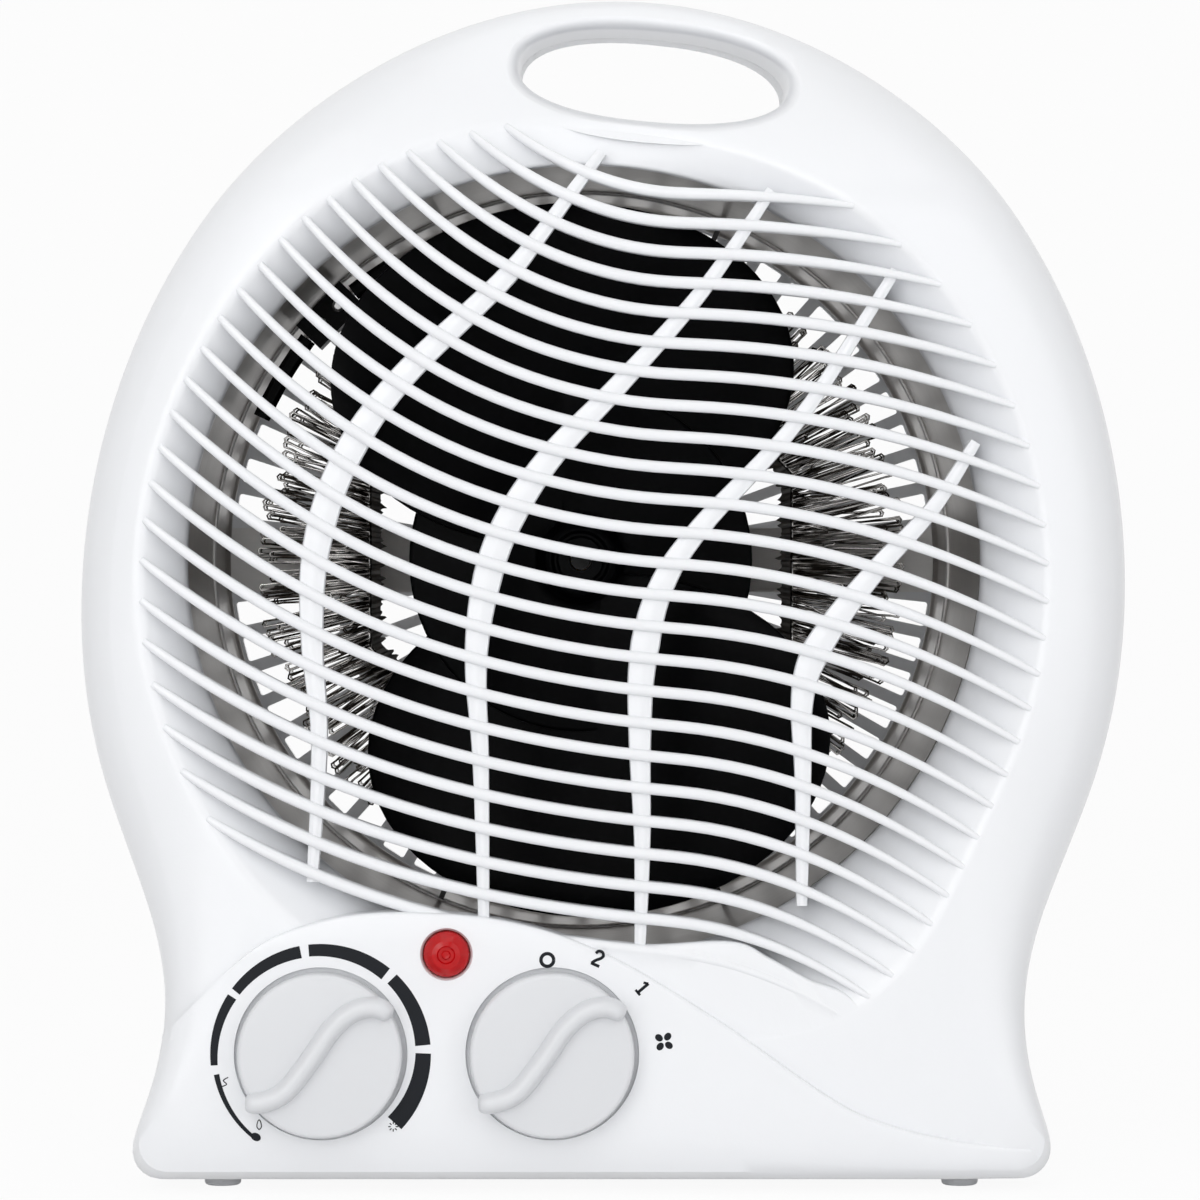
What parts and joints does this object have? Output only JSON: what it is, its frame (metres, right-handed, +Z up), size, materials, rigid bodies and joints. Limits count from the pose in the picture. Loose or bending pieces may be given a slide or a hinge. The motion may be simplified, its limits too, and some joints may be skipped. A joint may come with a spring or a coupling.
{
  "type": "fan heater",
  "caption": "Free-standing domestic fan heater: white round-topped two-shell case with a swept grille over a metal duct, carrying-handle opening, two dials and a red lamp.",
  "frame": {"origin": "centre of the bounding box in X and Y, on the floor under the feet", "axes": "+X to the right seen from the front, the grille faces -Y, +Z up"},
  "size_m": [0.215, 0.1268, 0.245],
  "materials": {
    "white_plastic": "satin white moulded plastic",
    "knob_plastic": "satin pale grey plastic",
    "grey_rubber": "matt light grey rubber",
    "black_plastic": "matt black plastic",
    "bakelite": "dark brown-black moulded resin",
    "aluminium": "bright rolled sheet",
    "steel": "zinc plated",
    "lamination": "stacked sheet, dull",
    "nichrome": "drawn resistance wire, slightly oxidised",
    "mica": "dark pressed mica",
    "copper": "enamelled copper winding",
    "bronze": "sintered bronze",
    "red_lens": "red translucent",
    "lamp_glass": "clear glass neon lamp"
  },
  "bodies": {
    "case": {"front_shell": "white_plastic", "rear_shell": "white_plastic", "terminal_block": "knob_plastic", "foot_1": "grey_rubber", "foot_2": "grey_rubber", "foot_3": "grey_rubber", "foot_4": "grey_rubber", "cutout_lead_long": "black_plastic", "cutout_lead_short": "black_plastic", "cord_bush": "black_plastic", "thermal_cutout": "bakelite", "thermostat_housing": "bakelite", "selector_housing": "bakelite", "air_duct": "aluminium", "shell_screw_1": "steel", "shell_screw_2": "steel", "shell_screw_3": "steel", "shell_screw_4": "steel", "duct_screw_1": "steel", "duct_screw_2": "steel", "duct_screw_3": "steel", "cutout_rivet_1": "steel", "cutout_rivet_2": "steel", "bracket_front": "steel", "bracket_rear": "steel", "motor_strap": "steel", "motor_standoff_1": "steel", "motor_standoff_2": "steel", "motor_screw_1": "steel", "motor_screw_2": "steel", "thermostat_screw_1": "steel", "thermostat_screw_2": "steel", "selector_screw_1": "steel", "selector_screw_2": "steel", "motor_core": "lamination", "heating_wire_low": "nichrome", "heating_wire_high": "nichrome", "element_core": "mica", "element_arm_1": "mica", "element_arm_2": "mica", "element_arm_3": "mica", "element_arm_4": "mica", "motor_coil": "copper", "bearing_1": "bronze", "bearing_2": "bronze", "bimetal_strip": "bronze", "lamp_lens": "red_lens", "lamp_body": "lamp_glass"},
    "fan_rotor": {"fan_impeller": "black_plastic", "fan_nut": "black_plastic", "motor_shaft": "steel", "motor_rotor": "steel"},
    "thermostat_dial": {"thermostat_knob": "knob_plastic", "thermostat_spindle": "steel"},
    "selector_dial": {"selector_knob": "knob_plastic", "selector_spindle": "steel"}
  },
  "joints": [
    {"name": "fan_spin", "type": "hinge", "parent": "case", "child": "fan_rotor", "pos_m": [-0.00465, 0, 0.128], "axis": [0, 1, 0], "continuous": true},
    {"name": "thermostat_turn", "type": "hinge", "parent": "case", "child": "thermostat_dial", "pos_m": [-0.05685, -0.055, 0.0286], "axis": [0, 1, 0], "range_deg": [-202, 72]},
    {"name": "selector_turn", "type": "hinge", "parent": "case", "child": "selector_dial", "pos_m": [-0.01025, -0.055, 0.0286], "axis": [0, 1, 0], "range_deg": [-65, 20]}
  ]
}
